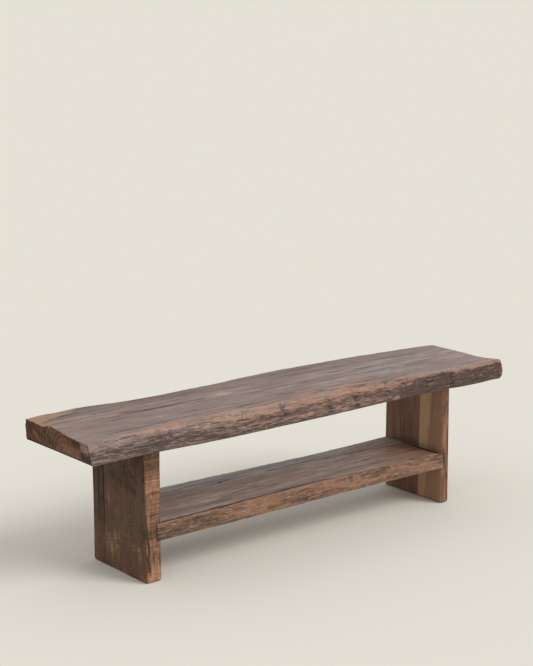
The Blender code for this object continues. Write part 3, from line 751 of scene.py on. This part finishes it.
front = (ease(way, 0.80, 0.56) + rear) * (1 - end)
on_shoulder = ease(way, 0.45, 0.60) * ease(way, 1.02, 0.90)
patch_place = front * ease(x, -0.45, -0.10) + on_shoulder * ease(x, -0.05, -0.35) * ease(x, -0.76, -0.66)
patches = patch_place * ease(rough(points, (0.034, 0.02, 0.0065), 389, 2), 0.35, 0.75)
mottle = rough(points, (0.010, 0.008, 0.0065), 401, 2)
strands = rough(points, (0.060, 0.02, 0.0034), 405) * ease(x, -0.20, -0.45)
knobs = knobs * (0.3 + 0.7 * ease(x, -0.60, -0.30))
dashes = flat * ease(rough(points, (0.050, 0.0075, 1), 397, 2), 0.45, 0.95)
wear = through(x, SHOULDER_WEAR)
rubbed = ease(y - shoulder, wear, 0.2 * wear) * (way >= 1) + ease(way, 0.50, 0.76) * (way < 1)
right_part = ease(x, 0.30, 0.40) * (1 - rear * (y > 0))
# The arris along the front right and the rim at the right end's front corner are painted highlights on worn
# orange wood
arris = bell(way, 0.93, 0.055) * right_part * (0.85 + 0.45 * rough(points, (0.022, 0.010, 0.010), 403, 2))
rim = (1 - end) * ease(x, 0.797, 0.810) * (way < 1)
streaky = rough(points, (0.070, 0.008, 0.008), 399)
flecks = ease(rough(points, (0.007, 0.006, 0.006), 395, 2), 0.45, 0.9)
low_edge = ease(way, 0.16, 0.0) * (1 - end)
# The shoulder's lighter tone from shine is painted sheen; its warm colour is worn wood
shine = rubbed * through(x, SHOULDER_SHINE)
tone = flat * (0.10 + 0.18 * rough(points, (0.20, 0.035, 1), 391) - 0.10 * dashes + 0.3 * spots
               + 0.09 * right_part - 0.10 * ease(y, 0.04, 0.12)
               - 0.10 * ease(y, 0.035, 0.060) * ease(x, -0.05, -0.25) - 0.14 * smudge)
shade = (0.34 - 0.12 * fibres - 0.12 * knobs - 0.16 * strands - 0.04 * ease(x, 0.30, -0.40)
         + (0.33 - 0.32 * mottle) * right_part)
tone = tone - front * shade - 0.15 * low_edge + (0.24 - 0.10 * right_part) * patches
tone = (tone + 0.7 * flecks * edge * (0.8 * cracks + 0.5 * rubbed * (1 - right_part)) + 0.30 * arris
        + 0.22 * rim - 0.10 * cracks * edge)
tone = tone + shine * (0.07 + 0.25 * streaky) * (1 - right_part) + 0.18 * sap
# Below the tan patch, and beside the end grain's border, the left end's front corner is painted dark: painted
# shade
tone = tone + corner * (0.2 * fibres - 0.20 - 0.40 * ease(z, 0.428, 0.412))
front_warm = (0.20 + 0.25 * rear + through(x, FRONT_WARMTH) + 0.30 * knobs + 0.20 * fibres
              + 0.35 * right_part * mottle)
warm = np.clip(sap + 0.5 * line_side + shine * (0.42 + 0.22 * knobs + 0.50 * streaky) * (way < 1.9)
               + 0.9 * arris + 0.6 * rim + front * front_warm * (1 - low_edge) + 0.6 * patches
               - 0.25 * smudge + corner * 0.8 * ease(z, 0.412, 0.430) - 0.4 * streaks - 0.8 * edge * cracks
               + flat * (0.30 * rough(points, (0.14, 0.035, 1), 393) - 0.15 * ease(x, 0.10, 0.40))
               - 0.3 * dashes, -1, 1) * (1 - end)
# The dirt includes painted shade in the lower part of the left end's front corner and beside the end grain's
# border
dirt = np.clip(0.50 * streaks + 0.25 * dashes + 0.8 * flat * check
               + front * (0.08 + 0.14 * right_part - 0.16 * fibres - 0.14 * knobs - 0.10 * strands
                          + 0.15 * flakes - 0.3 * patches)
               + edge * cracks * (0.42 - 0.8 * flecks) - 0.4 * arris + corner * 0.6 * ease(z, 0.428, 0.408)
               + 0.7 * corner * ease(past_border, -0.010, -0.003), 0, 1) * (1 - end)
# On the end: a darker stain at the top front, a dark line along the bottom edge that is painted shade, and
# darker towards the rear
dirt = dirt + end * np.clip(0.75 * ease(y, -0.04, -0.11) * ease(z, 0.410, 0.437)
                            + 0.8 * ease(z, 0.401, 0.393) + 0.45 * ease(y, 0.00, 0.09), 0, 1)
warm = warm + end * (stroke(y, z, *END_RAY) + 0.45 * blot(y, z, *END_GLOW) + 0.5 * stroke(y, z, *END_STROKE))
rugged = np.clip(edge + corner + 0.6 * shine * flat, 0, 1) + 0.3 * flat

# End grain: growth rings round the pith, wavering, with darker patches, and the marks of wear, dirt and
# painted shade
end_grain, given, result = new_group(
    "end_grain", {"Place": "Vector", "Pith": "Vector"} | dict.fromkeys(("Ring", "Warm", "Dirt"), "Float")
    | dict.fromkeys(("Early", "Late", "Stain", "Ray"), "Color"), {"Colour": "Color"})
tree = end_grain
away = vectors(tree, "MULTIPLY", vectors(tree, "SUBTRACT", given["Place"], given["Pith"]), (0, 1, 1))
radius = vectors(tree, "LENGTH", away)
wobble = noise(tree, given["Place"], 26.0, 3.0)
turns = sums(tree, "DIVIDE", weighed(tree, (radius, 1.0), (wobble, 0.016)), given["Ring"])
rings = sums(tree, "SINE", sums(tree, "MULTIPLY", turns, 2 * math.pi))
fine = noise(tree, given["Place"], 150.0, 4.0)
late = between(tree, weighed(tree, (rings, 0.20), (fine, 1.8)), 0.4, 1.4)
colour = blended(tree, late, given["Early"], given["Late"])
stain = between(tree, noise(tree, given["Place"], 40.0, 4.0), 0.46, 0.64)
colour = blended(tree, sums(tree, "MULTIPLY", stain, 0.8), colour, given["Stain"])
lit = sums(tree, "MULTIPLY", given["Warm"], between(tree, fine, 0.30, 0.60))
colour = blended(tree, lit, colour, given["Ray"])
soiled = between(tree, weighed(tree, (given["Dirt"], 1.0), (fine, -0.5)), -0.1, 0.7)
feed(tree, result, {"Colour": blended(tree, soiled, colour, given["Stain"])})

seat_wood = board_material(
    "seat_worn", (0.9, 14, 14), (0.75, 12, 12), (0.100, 0.067, 0.056), (0.262, 0.190, 0.167),
    (0.385, 0.302, 0.277), (0.425, 0.242, 0.168), (0.045, 0.032, 0.028), 0.60, 0.12)
tree = seat_wood.node_tree
surface = tree.nodes["Principled BSDF"]
rings = put(tree, "ShaderNodeGroup", {
    "Place": own_place(tree), "Pith": (0, -0.05, 0.392), "Ring": 0.0140,
    "Early": (0.205, 0.096, 0.060, 1), "Late": (0.075, 0.038, 0.024, 1), "Stain": (0.050, 0.030, 0.020, 1),
    "Ray": (0.400, 0.205, 0.120, 1), "Warm": marked(tree, "Warm"), "Dirt": marked(tree, "Dirt")},
    node_tree=end_grain).outputs["Colour"]
worn_colour = surface.inputs["Base Color"].links[0].from_socket
worn_colour = blended(tree, marked(tree, "pale"), worn_colour, (0.440, 0.345, 0.250, 1))
feed(tree, surface, {"Base Color": blended(tree, marked(tree, "end"), worn_colour, rings)})
board("seat_slab", points + normal * height[:, None], triangles,
      {"tone": tone, "warm": warm, "dirt": dirt, "rough": rugged, "end": end, "pale": 0.75 * flat * spots},
      seat_wood)


# Dowels, screws and plugs: turned beech dowels hold the joints, steel screws hold the shelf's ends, and dark
# plugs of the leg's own wood fill the holes over the screws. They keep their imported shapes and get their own
# finishes.
def simple_wood(name, early, late, stretch):
    """Plain turned wood: fine fibres between two tones, and a satin surface."""
    material, tree, surface = blank_material(name)
    grain = put(tree, "ShaderNodeGroup", {"Place": own_place(tree), "Stretch": stretch, "Patch": (1, 1, 1)},
                node_tree=wood_grain).outputs
    mixed = weighed(tree, (grain["Fibre"], 0.6), (grain["Streak"], 0.4))
    bump = put(tree, "ShaderNodeBump", {"Strength": 0.3, "Distance": 0.0003, "Height": grain["Fibre"]})
    feed(tree, surface, {"Base Color": blended(tree, mixed, (*late, 1), (*early, 1)),
                         "Normal": bump.outputs["Normal"], "Roughness": 0.6})
    return material


beech = simple_wood("beech_dowel", (0.52, 0.36, 0.22), (0.38, 0.24, 0.14), (30, 30, 4))
plug_wood = simple_wood("dark_plug", (0.045, 0.031, 0.026), (0.022, 0.015, 0.013), (60, 30, 30))
steel, tree, surface = blank_material("screw_steel_worn")
dull = noise(tree, own_place(tree), 600.0, 3.0)
feed(tree, surface, {"Base Color": blended(tree, dull, (0.30, 0.29, 0.27, 1), (0.52, 0.51, 0.49, 1)),
                     "Roughness": sums(tree, "MULTIPLY_ADD", dull, 0.3, 0.25), "Metallic": 1.0})
for node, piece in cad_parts.items():
    for kind, material in (("dowel", beech), ("plug", plug_wood), ("screw", steel)):
        if kind in node:
            piece.material_slots[0].material = material


# Floor: a plain pale studio floor that runs out to the horizon
FLOOR_COLOUR = (0.78, 0.750, 0.670)
FLOOR_REACH = 3000
floor_corners = [(FLOOR_REACH * u, FLOOR_REACH * v, 0) for u, v in ((-1, -1), (1, -1), (1, 1), (-1, 1))]
floor_mesh = bpy.data.meshes.new("studio_floor")
floor_mesh.from_pydata(floor_corners, [], [(0, 1, 2, 3)])
floor_material, tree, surface = blank_material("studio_floor")
feed(tree, surface, {"Base Color": (*FLOOR_COLOUR, 1), "Roughness": 0.9, "Specular IOR Level": 0.0})
floor_mesh.materials.append(floor_material)
floor = bpy.data.objects.new("studio_floor", floor_mesh)
bpy.context.scene.collection.objects.link(floor)


# Light: one broad soft lamp, low from the front and a little from the right, in an even white room. The
# camera, and what glossy and clear surfaces mirror, see the room in the floor's own pale colour.
SUN_FROM = (0.40, -0.66, 0.64)
SUN_SHARE = 0.50
SUN_BREADTH = math.radians(30)
ROOM_SHARE = 0.68
PALE = (0.762, 0.732, 0.653)
sun = bpy.data.objects.new("soft_lamp", bpy.data.lights.new("soft_lamp", "SUN"))
sun.data.energy = math.pi * SUN_SHARE
sun.data.angle = SUN_BREADTH
sun.rotation_mode = "QUATERNION"
sun.rotation_quaternion = Vector(SUN_FROM).to_track_quat("Z", "Y")
bpy.context.scene.collection.objects.link(sun)
room = bpy.data.worlds.new("room")
bpy.context.scene.world = room
room.use_nodes = True
tree = room.node_tree
tree.nodes.clear()
path = put(tree, "ShaderNodeLightPath", {})
seen = path.outputs["Is Camera Ray"]
for ray in ("Is Glossy Ray", "Is Transmission Ray"):
    seen = sums(tree, "MAXIMUM", seen, path.outputs[ray])
white = put(tree, "ShaderNodeBackground", {"Color": (1, 1, 1, 1), "Strength": ROOM_SHARE})
pale = put(tree, "ShaderNodeBackground", {"Color": (*PALE, 1), "Strength": 1.0})
mixed = put(tree, "ShaderNodeMixShader", {0: seen, 1: white.outputs[0], 2: pale.outputs[0]})
put(tree, "ShaderNodeOutputWorld", {"Surface": mixed.outputs[0]})


# Camera: the photograph's place and lens, as turn, tilt and roll
YAW, PITCH, ROLL = (math.radians(angle) for angle in (39.22, 11.96, 0.24))
CAMERA_PLACE = (-2.9815, -3.5838, 1.6062)
CAMERA_LENS = 84.86
CAMERA_REACH = 10000
camera = bpy.data.objects.new("camera", bpy.data.cameras.new("camera"))
bpy.context.scene.collection.objects.link(camera)
bpy.context.scene.camera = camera
ahead = np.array([math.sin(YAW) * math.cos(PITCH), math.cos(YAW) * math.cos(PITCH), -math.sin(PITCH)])
right = np.array([math.cos(YAW), -math.sin(YAW), 0])
down = np.cross(ahead, right)
right, down = math.cos(ROLL) * right - math.sin(ROLL) * down, math.sin(ROLL) * right + math.cos(ROLL) * down
axes = Matrix(np.stack([right, -down, -ahead], axis=1).tolist())
camera.matrix_world = Matrix.Translation(CAMERA_PLACE) @ axes.to_4x4()
camera.data.lens = CAMERA_LENS
camera.data.clip_end = CAMERA_REACH
bpy.context.scene.view_settings.view_transform = "Standard"
